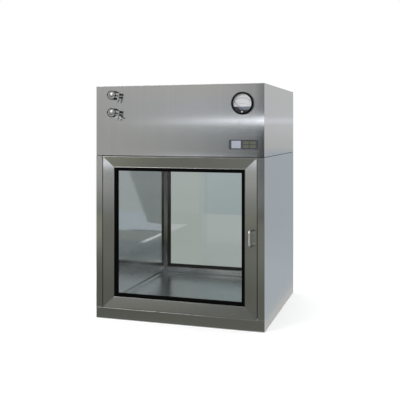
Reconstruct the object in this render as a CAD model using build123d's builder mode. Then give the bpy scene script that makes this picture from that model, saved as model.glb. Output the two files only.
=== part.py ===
"""Cleanroom pass box: a recirculating transfer hatch with two interlocked glass doors.

A stainless cabinet stands on a plinth. Its chamber is open at the front and the rear, and each
opening is closed by a framed glass door on concealed pivots. The hood above holds the blower and
the high-efficiency filter, and carries a pressure gauge, a controller and two capped test ports.

Frame: +Z up, front towards -Y, origin at the middle of the plinth's underside. Millimetres.
"""

import os
from math import cos, radians, sin, tan

from build123d import *

os.makedirs("parts", exist_ok=True)

# ---------------------------------------------------------------- driving dimensions
# Cabinet
cabinet_width = 970.0
cabinet_depth = 915.0
cabinet_height = 1310.0
plinth_height = 62.0
plinth_flange = 16.0
sheet = 2.0
bend_radius = 3.0  # outside radius of a folded edge
jamb_width = 38.0  # front and rear return of a side panel
deck_bottom = 918.0  # underside of the deck between the lower cabinet and the hood
deck_thickness = 3.0
deck_inset = 2.0  # the deck's edge stands back and leaves the shadow line of the seam

# Chamber
chamber_inset = 95.0  # from the cabinet's side to the chamber
chamber_height = 800.0
chamber_floor_height = 90.0
cove_radius = 25.0
supply_lap = 30.0  # the filter reaches over the opening by this much

# Doors
door_gap = 3.5  # round the leaf
door_thickness = 34.0
stile_width = 66.0
rail_width = 61.0
bevel_depth = 8.0  # the frame's face slopes back towards the glass by this much
edge_radius = 1.2
lip_width = 3.0
lip_height = 1.6
seat_depth = 42.0  # from the front plane to the plate that the door closes on
seat_overlap = 8.0  # the plate's edge runs this far behind the jamb
glazing_width = 19.0  # black glazing profile that shows round the glass
glazing_setback = 9.5
glazing_back = 1.0
glazing_radius = 2.5
glass_thickness = 6.0
glass_setback = 17.0
glass_edge_cover = 13.0  # how far the profile laps over the pane
seal_width = 10.0
seal_margin = 3.0  # from the chamber opening to the seal
seal_clearance = 0.3

# Door pivots
pivot_edge = 16.0  # pivot axis from the leaf's edge
pivot_setback = 10.0  # pivot axis behind the front plane
pin_radius = 4.0
pin_clearance = 0.05
pin_engagement = 17.0
pin_washer_radius = 8.0
pin_washer_gap = 0.3
pivot_block_width = 26.0
pivot_block_height = 20.0

# Pull handle
handle_height = 493.0  # centre above the floor
handle_edge = 32.6  # from the leaf's edge
handle_length = 82.0  # between the legs' axes
handle_standoff = 39.5  # grip axis in front of the front plane
grip_radius = 4.5
handle_bend = 12.0
rosette_radius = 7.5
rosette_height = 2.5

# Magnetic lock
lock_height = 760.0
lock_edge = 15.5  # from the leaf's edge
lock_length = 130.0
lock_width = 22.0
lock_depth = 24.0
lock_clearance = 0.4
lock_fit = 0.2
armature_thickness = 3.0

# Hood
hood_flange = 16.0
roof_thickness = 2.0
screw_radius = 2.0
screw_head_radius = 4.2
screw_length = 12.0
screw_fit = 0.1
screw_margin = 10.0
gland_radius = 11.0
gland_hex = 14.0
gland_base = 6.0
gland_height = 24.0
gland_edge = 185.0  # from the cabinet's side
gland_drop = 130.0  # below the roof

# Filter and blower
filter_inset = 40.0  # from the chamber's side
filter_height = 69.0
filter_wall = 18.0
filter_gasket = 5.0
media_margin = 4.0
pleat_count = 28
pleat_web = 2.5
plenum_lap = 20.0  # the plenum reaches over the filter by this much
plenum_flange = 20.0
plenum_height = 209.0
inlet_radius = 76.0
inlet_curve = 20.0
inlet_flange = 14.0
inlet_fit = 2.0
impeller_radius = 120.0
impeller_eye = 80.0
impeller_depth = 62.0
impeller_gap = 10.0  # below the plenum's top
impeller_plate = 2.0
blade_count = 7
blade_thickness = 2.5
blade_curve = 60.0
blade_lag = 34.0
hub_radius = 18.0
hub_height = 26.0
shaft_radius = 6.0
shaft_clearance = 0.06
shaft_length = 30.0
motor_radius = 46.0
motor_height = 42.0
motor_gap = 1.0
hanger_radius = 5.0
hanger_circle_radius = 150.0
hanger_plate = 4.0
hanger_width = 30.0

# Diffuser, lamp, return grille and electrics
deck_lap = 15.0  # the deck reaches into the opening by this much
return_slot = (56.0, 500.0)
return_slot_edge = 45.0  # from the cabinet's side
diffuser_bar = (20.0, 24.0)
diffuser_rows = 15
diffuser_columns = 3
diffuser_end = 0.2  # solid ends of the screen, in slot pitches
screen_fit = 0.5
diffuser_wall = 1.5
lamp_length = 436.0
lamp_radius = 8.0
lamp_setback = 78.0  # lamp axis from the front plane
lamp_drop = 17.0  # lamp axis below the ceiling
lamp_holder = (16.0, 22.0, 27.0)
grille_length = 600.0
grille_height = 120.0
grille_bottom = 130.0
grille_lap = 15.0
grille_collar = 12.0
grille_fit = 0.5
slat_count = 6
slat_tilt = 35.0
slat_depth = 12.0
enclosure_size = (64.0, 300.0, 150.0)
enclosure_edge = 60.0  # from the cabinet's side
enclosure_radius = 4.0

# Differential pressure gauge
gauge_edge = 118.0  # from the cabinet's side
gauge_drop = 105.0  # below the roof
gauge_radius = 60.3
gauge_hole_radius = 57.0
gauge_fit = 0.5
gauge_flange = 3.0
gauge_proud = 15.0
gauge_rim = 9.5
gauge_case_depth = 45.0
gauge_wall = 3.0
dial_setback = 8.0  # dial face behind the bezel's front
dial_thickness = 1.0
dial_chord = 18.0  # lower edge of the dial plate below the gauge's centre
lens_thickness = 2.0
lens_setback = 1.5
lens_lap = 1.6
pivot_drop = 34.0  # pointer pivot below the gauge's centre
pointer_length = 62.0
pointer_tail = 9.0
pointer_width = 2.0
pointer_thickness = 0.8
pointer_hub = 4.0
pointer_pin = 1.0
pointer_clearance = 0.05
pointer_rest = 45.0  # resting angle from the vertical, towards the left
zero_screw_drop = 45.0
zero_screw_radius = 3.5
zero_screw_clearance = 0.1

# Controller
controller_edge = 114.0  # from the cabinet's side
controller_rise = 65.5  # above the deck
controller_width = 158.0
controller_tall = 51.0
controller_proud = 3.0
controller_corner = 3.0
controller_box = (140.0, 38.0, 34.0)
screen_size = (52.0, 40.0)
screen_offset = -39.0  # centre from the controller's centre
screen_thickness = 1.6
screen_recess = 0.6
key_size = (33.0, 15.0)
key_pitch = (38.0, 20.0)
key_grid = (2, 2)
key_offset = 33.0
key_radius = 2.0
key_thickness = 3.1
key_proud = 0.6
key_clearance = 0.3
key_gap = 0.7  # free depth under a key

# Test ports with hinged clamps
port_edge = 107.0  # from the cabinet's side
upper_port_drop = 52.0  # below the roof
port_spacing = 98.0
clamp_angle = -8.0
tube_radius = 9.5
tube_bore = 8.0
tube_inside = 18.0
ferrule_length = 21.5
flange_radius = 17.0
flange_rim = 2.85
flange_taper = 20.0
cap_crown = 1.2
port_gasket = 1.8
clamp_bore = 13.5
clamp_outer = 25.5
clamp_width = 14.0
clamp_clearance = 0.3
split_gap = 4.0
hinge_offset = 29.5
hinge_gap = 0.1
hinge_tongue = 4.6
hinge_pin_radius = 1.8
bolt_offset = 42.0
bolt_radius = 3.0
bolt_length = 49.0
bolt_slot = 0.4
eye_height = 10.0
eye_radius = 5.5
eye_width = 6.4
eye_slot = 0.2
lug_inner = 22.0
lug_low = 3.0
lug_high = 11.0
lug_end = 5.0  # a lug's end beyond the bolt axis
nut_gap = 0.4
nut_clearance = 0.05
nut_radius = 7.0
nut_height = 12.0
nut_taper = 8.0
wing_radius = 21.5
wing_rise = 7.0
wing_height = 17.0
wing_thickness = 3.4
upper_nut_turn = 70.0

# ---------------------------------------------------------------- worked-out values
front_y = -cabinet_depth / 2
deck_top = deck_bottom + deck_thickness
door_width = cabinet_width - 2 * (jamb_width + door_gap)
door_bottom = plinth_height + door_gap
door_top = deck_bottom - door_gap
door_height = door_top - door_bottom
door_middle = (door_top + door_bottom) / 2
opening_width = door_width - 2 * stile_width
opening_height = door_height - 2 * rail_width
chamber_width = cabinet_width - 2 * chamber_inset
handle_offset = door_width / 2 - handle_edge
lock_offset = door_width / 2 - lock_edge
filter_size = chamber_width - 2 * filter_inset
supply_opening = filter_size - 2 * supply_lap
deck_opening = supply_opening - 2 * deck_lap
diffuser_size = supply_opening - 2 * screen_fit
plenum_size = filter_size + 2 * plenum_lap
return_slot_x = cabinet_width / 2 - return_slot_edge
enclosure_x = enclosure_edge - cabinet_width / 2
gauge_x = cabinet_width / 2 - gauge_edge
gauge_z = cabinet_height - gauge_drop
controller_x = cabinet_width / 2 - controller_edge
controller_z = deck_top + controller_rise
port_x = port_edge - cabinet_width / 2
upper_port_z = cabinet_height - upper_port_drop
lower_port_z = upper_port_z - port_spacing
gland_x = gland_edge - cabinet_width / 2
gland_z = cabinet_height - gland_drop
diffuser_pitch = (
    supply_opening / (diffuser_columns + diffuser_end),
    supply_opening / (diffuser_rows + 1),
)
chamber_middle = chamber_floor_height + chamber_height / 2
chamber_top = chamber_floor_height + chamber_height
liner_length = cabinet_depth - 2 * (seat_depth + sheet)
lower_height = deck_bottom - plinth_height
lower_middle = (deck_bottom + plinth_height) / 2
shell_top = cabinet_height - roof_thickness
pivot_x = -door_width / 2 + pivot_edge
pivot_y = front_y + pivot_setback
filter_bottom = deck_top + filter_gasket
plenum_top = deck_top + plenum_height
impeller_top = plenum_top - impeller_gap
impeller_bottom = impeller_top - impeller_depth
motor_top = impeller_bottom - motor_gap
motor_bottom = motor_top - motor_height
clamp_height = ferrule_length + port_gasket / 2  # clamp's middle plane in front of the hood
taper_slope = tan(radians(flange_taper))


def behind_front(depth):
    """The XZ plane that lies this far behind the cabinet's front plane."""
    return Plane.XZ.offset(cabinet_depth / 2 - depth)


def turning_plane(x, z):
    """A half-section plane for a piece turned about a line that runs forward at x, z."""
    return Plane(origin=(x, front_y, z), x_dir=(1, 0, 0), z_dir=(0, 0, -1))


def forward_axis(x, z):
    """The line that runs forward from the front plane at x, z."""
    return Axis((x, front_y, z), (0, -1, 0))


def write(label, *pieces):
    """Labels one sub-part, a single solid or a group of alike solids, and writes its STEP file."""
    shape = pieces[0] if len(pieces) == 1 else Compound(children=list(pieces))
    shape.label = label
    export_step(shape, f"parts/{label}.step")


def turned(shape):
    """The same piece at the rear: half a turn about the cabinet's vertical axis."""
    return shape.rotate(Axis.Z, 180)


def mirrored(shape):
    """The same piece on the other side of the cabinet's middle plane."""
    return shape.mirror(Plane.YZ)


def at_lower_port(shape):
    """The same piece on the lower test port."""
    return shape.moved(Location((0, 0, lower_port_z - upper_port_z)))


# ---------------------------------------------------------------- plinth and side panels
with BuildPart() as plinth:
    with BuildSketch():
        RectangleRounded(cabinet_width, cabinet_depth, bend_radius)
    extrude(amount=plinth_height)
    fillet(plinth.edges().group_by(Axis.Z)[-1], edge_radius)
    with BuildSketch(Plane.XY.offset(sheet)):
        Rectangle(cabinet_width - 2 * sheet, cabinet_depth - 2 * sheet)
    extrude(amount=plinth_height - 2 * sheet, mode=Mode.SUBTRACT)
    with BuildSketch():
        Rectangle(cabinet_width - 2 * plinth_flange, cabinet_depth - 2 * plinth_flange)
    extrude(amount=plinth_height, mode=Mode.SUBTRACT)
write("base_plinth", plinth.part)

with BuildPart() as side_panel:
    with BuildSketch(Plane.XY.offset(plinth_height)):
        with Locations(((jamb_width - cabinet_width) / 2, 0)):
            Rectangle(jamb_width, cabinet_depth)
            Rectangle(jamb_width - 2 * sheet, cabinet_depth - 2 * sheet, mode=Mode.SUBTRACT)
        with Locations((jamb_width - (cabinet_width + sheet) / 2, 0)):
            Rectangle(sheet, cabinet_depth - 2 * seat_depth, mode=Mode.SUBTRACT)
    extrude(amount=lower_height)
    corners = side_panel.edges().filter_by(Axis.Z)
    fillet(corners.group_by(Axis.Y)[0] + corners.group_by(Axis.Y)[-1], bend_radius / 2)
write("left_side_panel", side_panel.part)
write("right_side_panel", mirrored(side_panel.part))

# ---------------------------------------------------------------- deck and chamber
with BuildPart() as deck:
    with BuildSketch(Plane.XY.offset(deck_bottom)):
        Rectangle(cabinet_width - 2 * deck_inset, cabinet_depth - 2 * deck_inset)
        Rectangle(deck_opening, deck_opening, mode=Mode.SUBTRACT)
        with Locations((return_slot_x, 0)):
            Rectangle(*return_slot, mode=Mode.SUBTRACT)
    extrude(amount=deck_thickness)
write("deck_panel", deck.part)

with BuildPart() as liner:
    with BuildSketch(behind_front(seat_depth + sheet)):
        with Locations((0, chamber_middle)):
            RectangleRounded(
                chamber_width + 2 * sheet, chamber_height + 2 * sheet, cove_radius + sheet
            )
            RectangleRounded(chamber_width, chamber_height, cove_radius, mode=Mode.SUBTRACT)
    extrude(amount=-liner_length)
    with BuildSketch(Plane.XY.offset(chamber_top)):
        Rectangle(supply_opening, supply_opening)
    extrude(amount=sheet, mode=Mode.SUBTRACT)
    with BuildSketch(Plane.YZ.offset(chamber_width / 2)):
        with Locations((0, grille_bottom + grille_height / 2)):
            Rectangle(grille_length, grille_height)
    extrude(amount=sheet, mode=Mode.SUBTRACT)
write("chamber_liner", liner.part)

# The plate that a door closes on, with a slot for the magnetic lock beside the opening
with BuildPart() as seal_frame:
    with BuildSketch(behind_front(seat_depth)):
        with Locations((0, lower_middle)):
            Rectangle(cabinet_width - 2 * (jamb_width - seat_overlap), lower_height)
        with Locations((0, chamber_middle)):
            RectangleRounded(chamber_width, chamber_height, cove_radius, mode=Mode.SUBTRACT)
        with Locations((lock_offset, lock_height)):
            Rectangle(lock_width + 2 * lock_fit, lock_length + 2 * lock_fit, mode=Mode.SUBTRACT)
    extrude(amount=-sheet)
write("front_seal_frame", seal_frame.part)
write("rear_seal_frame", turned(seal_frame.part))

with BuildPart() as door_seal:
    with BuildSketch(behind_front(seat_depth)):
        with Locations((0, chamber_middle)):
            RectangleRounded(
                chamber_width + 2 * (seal_margin + seal_width),
                chamber_height + 2 * (seal_margin + seal_width),
                cove_radius + seal_margin + seal_width,
            )
            RectangleRounded(
                chamber_width + 2 * seal_margin,
                chamber_height + 2 * seal_margin,
                cove_radius + seal_margin,
                mode=Mode.SUBTRACT,
            )
    extrude(amount=seat_depth - door_thickness - seal_clearance)
    fillet(door_seal.faces().sort_by(Axis.Y)[0].edges(), seal_width / 3)
write("door_seals", door_seal.part, turned(door_seal.part))

with BuildPart() as lock:
    with BuildSketch(behind_front(door_thickness + armature_thickness + lock_clearance)):
        with Locations((lock_offset, lock_height)):
            Rectangle(lock_width, lock_length)
    extrude(amount=-lock_depth)
    chamfer(lock.edges().group_by(Axis.Y)[-1], bend_radius)
write("door_magnets", lock.part, turned(lock.part))

# A pivot pin with its washer, at the foot of the front door and at its head
with BuildPart() as foot_pin:
    with BuildSketch(Plane.XY.offset(plinth_height)):
        with Locations((pivot_x, pivot_y)):
            Circle(pin_radius)
    extrude(amount=door_gap + pin_engagement)
    with BuildSketch(Plane.XY.offset(plinth_height)):
        with Locations((pivot_x, pivot_y)):
            Circle(pin_washer_radius)
    extrude(amount=door_gap - pin_washer_gap)
    chamfer(foot_pin.edges().group_by(Axis.Z)[-1], pin_radius / 4)
with BuildPart() as head_pin:
    add(foot_pin.part)
    mirror(about=Plane.XY.offset(lower_middle), mode=Mode.REPLACE)
write(
    "door_pivot_pins",
    foot_pin.part,
    head_pin.part,
    turned(foot_pin.part),
    turned(head_pin.part),
)

# ---------------------------------------------------------------- doors
def bevel_wedge(depth):
    """What a door's sloping face leaves free: a shallow pyramid that starts at this depth."""
    with BuildPart() as wedge:
        with BuildSketch(behind_front(depth)):
            with Locations((0, door_middle)):
                Rectangle(door_width, door_height)
        with BuildSketch(behind_front(depth + bevel_depth)):
            with Locations((0, door_middle)):
                Rectangle(opening_width, opening_height)
        loft()
    return wedge.part


# The folded frame is hollow and open at the back
with BuildPart() as frame_hollow:
    with BuildSketch(behind_front(door_thickness)):
        with Locations((0, door_middle)):
            Rectangle(door_width - 2 * sheet, door_height - 2 * sheet)
            Rectangle(opening_width + 2 * sheet, opening_height + 2 * sheet, mode=Mode.SUBTRACT)
    extrude(amount=door_thickness - sheet)
    add(bevel_wedge(sheet), mode=Mode.SUBTRACT)

block_front = bevel_depth * (pivot_block_height + sheet) / rail_width + sheet / 2
block_depth = door_thickness - sheet - block_front

with BuildPart() as door_frame:
    with BuildSketch(behind_front(door_thickness)):
        with Locations((0, door_middle)):
            Rectangle(door_width, door_height)
            Rectangle(opening_width, opening_height, mode=Mode.SUBTRACT)
    extrude(amount=door_thickness)
    add(bevel_wedge(0), mode=Mode.SUBTRACT)
    fillet(door_frame.edges().group_by(Axis.Y)[0], edge_radius)
    with BuildSketch(behind_front(bevel_depth + sheet)):
        with Locations((0, door_middle)):
            Rectangle(opening_width + 2 * lip_width, opening_height + 2 * lip_width)
            Rectangle(opening_width, opening_height, mode=Mode.SUBTRACT)
    extrude(amount=sheet + lip_height)
    lip_y = front_y + bevel_depth - lip_height
    lip_edges = door_frame.edges().filter_by(lambda edge: abs(edge.center().Y - lip_y) < edge_radius / 9)
    fillet(lip_edges.filter_by(lambda edge: edge.length > opening_height), edge_radius)
    add(frame_hollow.part, mode=Mode.SUBTRACT)
    for block_bottom in (door_bottom + sheet / 2, door_top - sheet / 2 - pivot_block_height):
        with BuildSketch(Plane.XY.offset(block_bottom)):
            block_x = (pivot_block_width + sheet - door_width) / 2
            with Locations((block_x, front_y + block_front + block_depth / 2)):
                Rectangle(pivot_block_width, block_depth)
        extrude(amount=pivot_block_height)
    bore_length = pivot_block_height + 2 * sheet
    for bore_bottom in (door_bottom, door_top - bore_length):
        with BuildSketch(Plane.XY.offset(bore_bottom)):
            with Locations((pivot_x, pivot_y)):
                Circle(pin_radius + pin_clearance)
        extrude(amount=bore_length, mode=Mode.SUBTRACT)
write("front_door_frame", door_frame.part)
write("rear_door_frame", turned(door_frame.part))

with BuildPart() as door_back:
    with BuildSketch(behind_front(door_thickness)):
        with Locations((0, door_middle)):
            Rectangle(door_width - 2 * sheet, door_height - 2 * sheet)
            Rectangle(opening_width + 2 * sheet, opening_height + 2 * sheet, mode=Mode.SUBTRACT)
    extrude(amount=sheet)
write("front_door_back", door_back.part)
write("rear_door_back", turned(door_back.part))

pane_width = opening_width - 2 * (glazing_width - glass_edge_cover)
pane_height = opening_height - 2 * (glazing_width - glass_edge_cover)

with BuildPart() as glazing:
    with BuildSketch(behind_front(door_thickness - glazing_back)):
        with Locations((0, door_middle)):
            Rectangle(opening_width, opening_height)
            Rectangle(
                opening_width - 2 * glazing_width,
                opening_height - 2 * glazing_width,
                mode=Mode.SUBTRACT,
            )
    extrude(amount=door_thickness - glazing_back - glazing_setback)
    fillet(glazing.edges().group_by(Axis.Y)[0], glazing_radius)
    fillet(glazing.edges().group_by(Axis.Y)[-1], glazing_radius)
    with BuildSketch(behind_front(glass_setback + glass_thickness)):
        with Locations((0, door_middle)):
            Rectangle(pane_width, pane_height)
    extrude(amount=glass_thickness, mode=Mode.SUBTRACT)
write("front_glazing_gasket", glazing.part)
write("rear_glazing_gasket", turned(glazing.part))

with BuildPart() as glass:
    with BuildSketch(behind_front(glass_setback + glass_thickness)):
        with Locations((0, door_middle)):
            Rectangle(pane_width, pane_height)
    extrude(amount=glass_thickness)
write("front_door_glass", glass.part)
write("rear_door_glass", turned(glass.part))

# The pull's feet stand square and are trimmed to the sloping stile
foot_slope = bevel_depth / stile_width
foot_depth = foot_slope * (door_width / 2 - handle_offset + rosette_radius)
with BuildPart() as handle:
    low = handle_height - handle_length / 2
    high = handle_height + handle_length / 2
    with BuildLine(Plane.YZ.offset(handle_offset)) as grip_path:
        FilletPolyline(
            (front_y + foot_depth, low),
            (front_y - handle_standoff, low),
            (front_y - handle_standoff, high),
            (front_y + foot_depth, high),
            radius=handle_bend,
        )
    with BuildSketch(behind_front(foot_depth)):
        with Locations((handle_offset, low)):
            Circle(grip_radius)
    sweep(path=grip_path.line)
    with BuildSketch(behind_front(foot_depth)):
        with Locations((handle_offset, low), (handle_offset, high)):
            Circle(rosette_radius)
    extrude(amount=foot_depth + rosette_height)
    add(door_frame.part, mode=Mode.SUBTRACT)
write("front_door_handle", handle.part)
write("rear_door_handle", turned(handle.part))

with BuildPart() as armature:
    with BuildSketch(behind_front(door_thickness + armature_thickness)):
        with Locations((lock_offset, lock_height)):
            Rectangle(lock_width, lock_length)
    extrude(amount=armature_thickness)
write("front_armature", armature.part)
write("rear_armature", turned(armature.part))

# ---------------------------------------------------------------- hood
with BuildPart() as hood:
    with BuildSketch(Plane.XY.offset(deck_top)):
        RectangleRounded(cabinet_width, cabinet_depth, bend_radius)
    extrude(amount=shell_top - deck_top)
    with BuildSketch(Plane.XY.offset(deck_top + sheet)):
        Rectangle(cabinet_width - 2 * sheet, cabinet_depth - 2 * sheet)
    extrude(amount=shell_top - deck_top - 2 * sheet, mode=Mode.SUBTRACT)
    with BuildSketch(Plane.XY.offset(deck_top)):
        Rectangle(cabinet_width - 2 * hood_flange, cabinet_depth - 2 * hood_flange)
    extrude(amount=shell_top - deck_top, mode=Mode.SUBTRACT)
    with BuildSketch(behind_front(0)):
        with Locations((gauge_x, gauge_z)):
            Circle(gauge_hole_radius)
        with Locations((controller_x, controller_z)):
            Rectangle(controller_box[0], controller_box[1])
        with Locations((port_x, upper_port_z), (port_x, lower_port_z)):
            Circle(tube_radius)
    extrude(amount=-sheet, mode=Mode.SUBTRACT)
    screw_x = cabinet_width - 2 * screw_margin
    screw_y = cabinet_depth - 2 * screw_margin
    with Locations(Plane.XY.offset(shell_top)):
        with GridLocations(screw_x / 2, screw_y, 3, 2):
            Hole(screw_radius + screw_fit, depth=sheet)
write("upper_housing", hood.part)

with BuildPart() as roof:
    with BuildSketch(Plane.XY.offset(shell_top)):
        RectangleRounded(cabinet_width, cabinet_depth, bend_radius)
    extrude(amount=roof_thickness)
    fillet(roof.edges().group_by(Axis.Z)[-1], edge_radius)
    with Locations(Plane.XY.offset(cabinet_height)):
        with GridLocations(screw_x / 2, screw_y, 3, 2):
            Cone(
                screw_radius + screw_fit,
                screw_head_radius + screw_fit,
                roof_thickness,
                align=(Align.CENTER, Align.CENTER, Align.MAX),
                mode=Mode.SUBTRACT,
            )
write("roof_panel", roof.part)

with BuildPart() as roof_screw:
    with BuildSketch(Plane.XY.offset(cabinet_height - screw_length)):
        Circle(screw_radius)
    extrude(amount=screw_length)
    with Locations(Plane.XY.offset(cabinet_height)):
        Cone(
            screw_radius,
            screw_head_radius,
            roof_thickness,
            align=(Align.CENTER, Align.CENTER, Align.MAX),
        )
screw_places = [(x, y) for x in (-screw_x / 2, 0, screw_x / 2) for y in (-screw_y / 2, screw_y / 2)]
write("roof_screws", *(roof_screw.part.moved(Location((x, y, 0))) for x, y in screw_places))

with BuildPart() as gland:
    with BuildSketch(Plane.XZ.offset(front_y)):
        with Locations((gland_x, gland_z)):
            RegularPolygon(gland_hex, 6)
    extrude(amount=-gland_base)
    with BuildSketch(Plane.XZ.offset(front_y)):
        with Locations((gland_x, gland_z)):
            Circle(gland_radius)
    extrude(amount=-gland_height)
    fillet(gland.edges().group_by(Axis.Y)[-1], gland_radius / 3)
write("cable_gland", gland.part)

# ---------------------------------------------------------------- air supply
with BuildPart() as diffuser:
    with BuildSketch(Plane.XY.offset(chamber_top)):
        Rectangle(diffuser_size, diffuser_size)
    extrude(amount=deck_bottom - chamber_top)
    with BuildSketch(Plane.XY.offset(chamber_top + diffuser_wall)):
        Rectangle(diffuser_size - 2 * diffuser_wall, diffuser_size - 2 * diffuser_wall)
    extrude(amount=deck_bottom - chamber_top, mode=Mode.SUBTRACT)
    with BuildSketch(Plane.XY.offset(chamber_top)):
        with GridLocations(*diffuser_pitch, diffuser_columns, diffuser_rows):
            Rectangle(diffuser_pitch[0] - diffuser_bar[0], diffuser_pitch[1] - diffuser_bar[1])
    extrude(amount=diffuser_wall, mode=Mode.SUBTRACT)
write("diffuser_screen", diffuser.part)

with BuildPart() as filter_seal:
    with BuildSketch(Plane.XY.offset(deck_top)):
        Rectangle(filter_size, filter_size)
        Rectangle(filter_size - 2 * filter_wall, filter_size - 2 * filter_wall, mode=Mode.SUBTRACT)
    extrude(amount=filter_gasket)
write("filter_gasket", filter_seal.part)

with BuildPart() as filter_frame:
    with BuildSketch(Plane.XY.offset(filter_bottom)):
        Rectangle(filter_size, filter_size)
        Rectangle(filter_size - 2 * filter_wall, filter_size - 2 * filter_wall, mode=Mode.SUBTRACT)
    extrude(amount=filter_height)
write("filter_frame", filter_frame.part)

# Pleats: grooves cut from both faces of a block, half a pitch apart, leave one folded web
media_width = filter_size - 2 * filter_wall
media_height = filter_height - 2 * media_margin
media_bottom = filter_bottom + media_margin
media_top = media_bottom + media_height
pleat_pitch = media_width / pleat_count
groove_half = (pleat_pitch / 2 - pleat_web) * (media_height - pleat_web) / (media_height - 2 * pleat_web)
with BuildPart() as media:
    with BuildSketch(Plane.XY.offset(media_bottom)):
        Rectangle(media_width, media_width)
    extrude(amount=media_height)
    with BuildSketch(Plane.XZ.offset(-media_width / 2)):
        with BuildLine():
            Polyline(
                (-groove_half, media_top),
                (groove_half, media_top),
                (0, media_bottom + pleat_web),
                close=True,
            )
        make_face()
    upper_cut = extrude(amount=media_width, mode=Mode.PRIVATE)
    with BuildSketch(Plane.XZ.offset(-media_width / 2)):
        with BuildLine():
            Polyline(
                (-groove_half, media_bottom),
                (groove_half, media_bottom),
                (0, media_top - pleat_web),
                close=True,
            )
        make_face()
    lower_cut = extrude(amount=media_width, mode=Mode.PRIVATE)
    with GridLocations(pleat_pitch, 1, pleat_count - 1, 1):
        add(upper_cut, mode=Mode.SUBTRACT)
    with GridLocations(pleat_pitch, 1, pleat_count - 2, 1):
        add(lower_cut, mode=Mode.SUBTRACT)
write("filter_media", media.part)

with BuildPart() as plenum:
    with BuildSketch(Plane.XY.offset(deck_top)):
        Rectangle(plenum_size, plenum_size)
    extrude(amount=plenum_height)
    with BuildSketch(Plane.XY.offset(deck_top)):
        Rectangle(plenum_size + 2 * plenum_flange, plenum_size + 2 * plenum_flange)
    extrude(amount=sheet)
    with BuildSketch(Plane.XY.offset(deck_top)):
        Rectangle(plenum_size - 2 * sheet, plenum_size - 2 * sheet)
    extrude(amount=plenum_height - sheet, mode=Mode.SUBTRACT)
    with BuildSketch(Plane.XY.offset(plenum_top)):
        Circle(inlet_radius + inlet_curve + inlet_fit)
    extrude(amount=-sheet, mode=Mode.SUBTRACT)
write("supply_plenum", plenum.part)

# Bell-mouthed inlet that reaches into the impeller's eye
bell_x = inlet_radius + inlet_curve
bell_z = plenum_top + sheet - inlet_curve
with BuildPart() as inlet:
    with BuildSketch(Plane.XZ):
        with BuildLine():
            CenterArc((bell_x, bell_z), inlet_curve, 90, 90)
            CenterArc((bell_x, bell_z), inlet_curve - sheet, 90, 90)
            Line((inlet_radius, bell_z), (inlet_radius + sheet, bell_z))
            Polyline(
                (bell_x, plenum_top),
                (bell_x + inlet_flange, plenum_top),
                (bell_x + inlet_flange, plenum_top + sheet),
                (bell_x, plenum_top + sheet),
            )
        make_face()
    revolve(axis=Axis.Z)
write("blower_inlet", inlet.part)

with BuildSketch() as blade:
    with BuildLine():
        RadiusArc(
            (impeller_eye + blade_thickness, 0),
            (
                (impeller_radius - blade_thickness) * cos(radians(blade_lag)),
                -(impeller_radius - blade_thickness) * sin(radians(blade_lag)),
            ),
            blade_curve,
        )
    trace(line_width=blade_thickness)

with BuildPart() as impeller:
    with BuildSketch(Plane.XY.offset(impeller_bottom)):
        Circle(impeller_radius)
    extrude(amount=impeller_plate)
    with BuildSketch(Plane.XY.offset(impeller_bottom)):
        Circle(hub_radius)
    extrude(amount=hub_height)
    with BuildSketch(Plane.XY.offset(impeller_bottom)):
        Circle(shaft_radius)
    extrude(amount=-shaft_length)
    with BuildSketch(Plane.XY.offset(impeller_bottom)):
        with PolarLocations(0, blade_count):
            add(blade.sketch)
    extrude(amount=impeller_depth)
    with BuildSketch(Plane.XY.offset(impeller_top - impeller_plate)):
        Circle(impeller_radius)
        Circle(impeller_eye, mode=Mode.SUBTRACT)
    extrude(amount=impeller_plate)
write("impeller", impeller.part)

with BuildPart() as motor:
    with BuildSketch(Plane.XY.offset(motor_bottom)):
        Circle(motor_radius)
    extrude(amount=motor_height)
    chamfer(motor.edges().group_by(Axis.Z)[-1], motor_radius / 12)
    with BuildSketch(Plane.XY.offset(motor_bottom + sheet)):
        Circle(shaft_radius + shaft_clearance)
    extrude(amount=motor_height, mode=Mode.SUBTRACT)
write("blower_motor", motor.part)

with BuildPart() as hanger:
    with BuildSketch(Plane.XY.offset(motor_bottom)):
        Circle(motor_radius)
        with Locations(Rotation(0, 0, 45), Rotation(0, 0, 135)):
            Rectangle(2 * hanger_circle_radius + hanger_width, hanger_width)
    extrude(amount=-hanger_plate)
    with BuildSketch(Plane.XY.offset(motor_bottom)):
        with PolarLocations(hanger_circle_radius, 4, start_angle=45):
            Circle(hanger_radius)
    extrude(amount=plenum_top - sheet - motor_bottom)
write("motor_hanger", hanger.part)

# ---------------------------------------------------------------- return grille, lamp, electrics
with BuildPart() as grille:
    with BuildSketch(Plane.YZ.offset(chamber_width / 2)):
        with Locations((0, grille_bottom + grille_height / 2)):
            Rectangle(grille_length + 2 * grille_lap, grille_height + 2 * grille_lap)
            Rectangle(grille_length - 4 * sheet, grille_height - 4 * sheet, mode=Mode.SUBTRACT)
    extrude(amount=-sheet)
    with BuildSketch(Plane.YZ.offset(chamber_width / 2)):
        with Locations((0, grille_bottom + grille_height / 2)):
            Rectangle(grille_length - 2 * grille_fit, grille_height - 2 * grille_fit)
            Rectangle(grille_length - 4 * sheet, grille_height - 4 * sheet, mode=Mode.SUBTRACT)
    extrude(amount=grille_collar)
    slat_pitch = (grille_height - 4 * sheet) / slat_count
    for slat in range(slat_count):
        slat_z = grille_bottom + 2 * sheet + slat_pitch * (slat + 0.5)
        with Locations(Location((chamber_width / 2 + slat_depth / 2, 0, slat_z), (0, slat_tilt, 0))):
            Box(slat_depth, grille_length - 2 * sheet, sheet)
write("return_grille", grille.part)

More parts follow.
